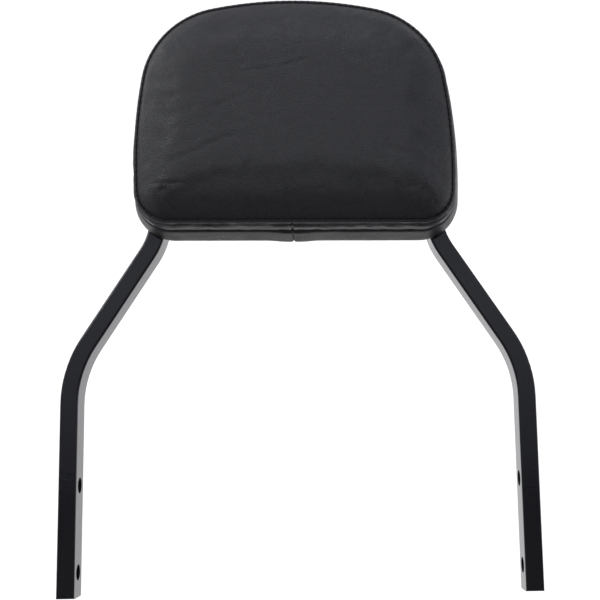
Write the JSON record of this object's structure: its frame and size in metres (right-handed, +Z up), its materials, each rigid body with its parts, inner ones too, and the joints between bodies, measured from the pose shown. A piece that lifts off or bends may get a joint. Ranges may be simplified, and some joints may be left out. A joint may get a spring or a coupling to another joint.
{
  "type": "sissy bar",
  "caption": "Round-topped motorcycle passenger backrest: a bent flat bar with two bolt-on legs and a stitched, padded backrest on its arch.",
  "frame": {"origin": "midway between the two legs on the axis of the lower bolt holes, half-way through the bar's depth", "axes": "+X across to the right seen from the rider's side, +Z up, -Y towards the passenger's back (the pad's front)"},
  "size_m": [0.3374, 0.0782, 0.4329],
  "materials": {
    "bar": "gloss black powder coat",
    "strap": "gloss black powder coat",
    "board": "moulded, matt",
    "foam": "open-cell foam",
    "cover": "black grained vinyl",
    "back_cloth": "thin black cloth",
    "staple": "zinc-plated wire",
    "t_nut": "zinc plated",
    "washer": "black zinc",
    "screw": "black oxide"
  },
  "bodies": {
    "root": {"upright_bar": "bar", "lower_strap": "strap", "upper_strap": "strap", "base_board": "board", "foam_core": "foam", "front_panel": "cover", "front_band": "cover", "rear_band": "cover", "back_cover": "back_cloth", "staples": "staple", "t_nut_1": "t_nut", "t_nut_2": "t_nut", "t_nut_3": "t_nut", "t_nut_4": "t_nut", "flat_washer_1": "washer", "flat_washer_2": "washer", "flat_washer_3": "washer", "flat_washer_4": "washer", "lock_washer_1": "washer", "lock_washer_2": "washer", "lock_washer_3": "washer", "lock_washer_4": "washer", "pad_screw_1": "screw", "pad_screw_2": "screw", "pad_screw_3": "screw", "pad_screw_4": "screw"}
  },
  "joints": []
}
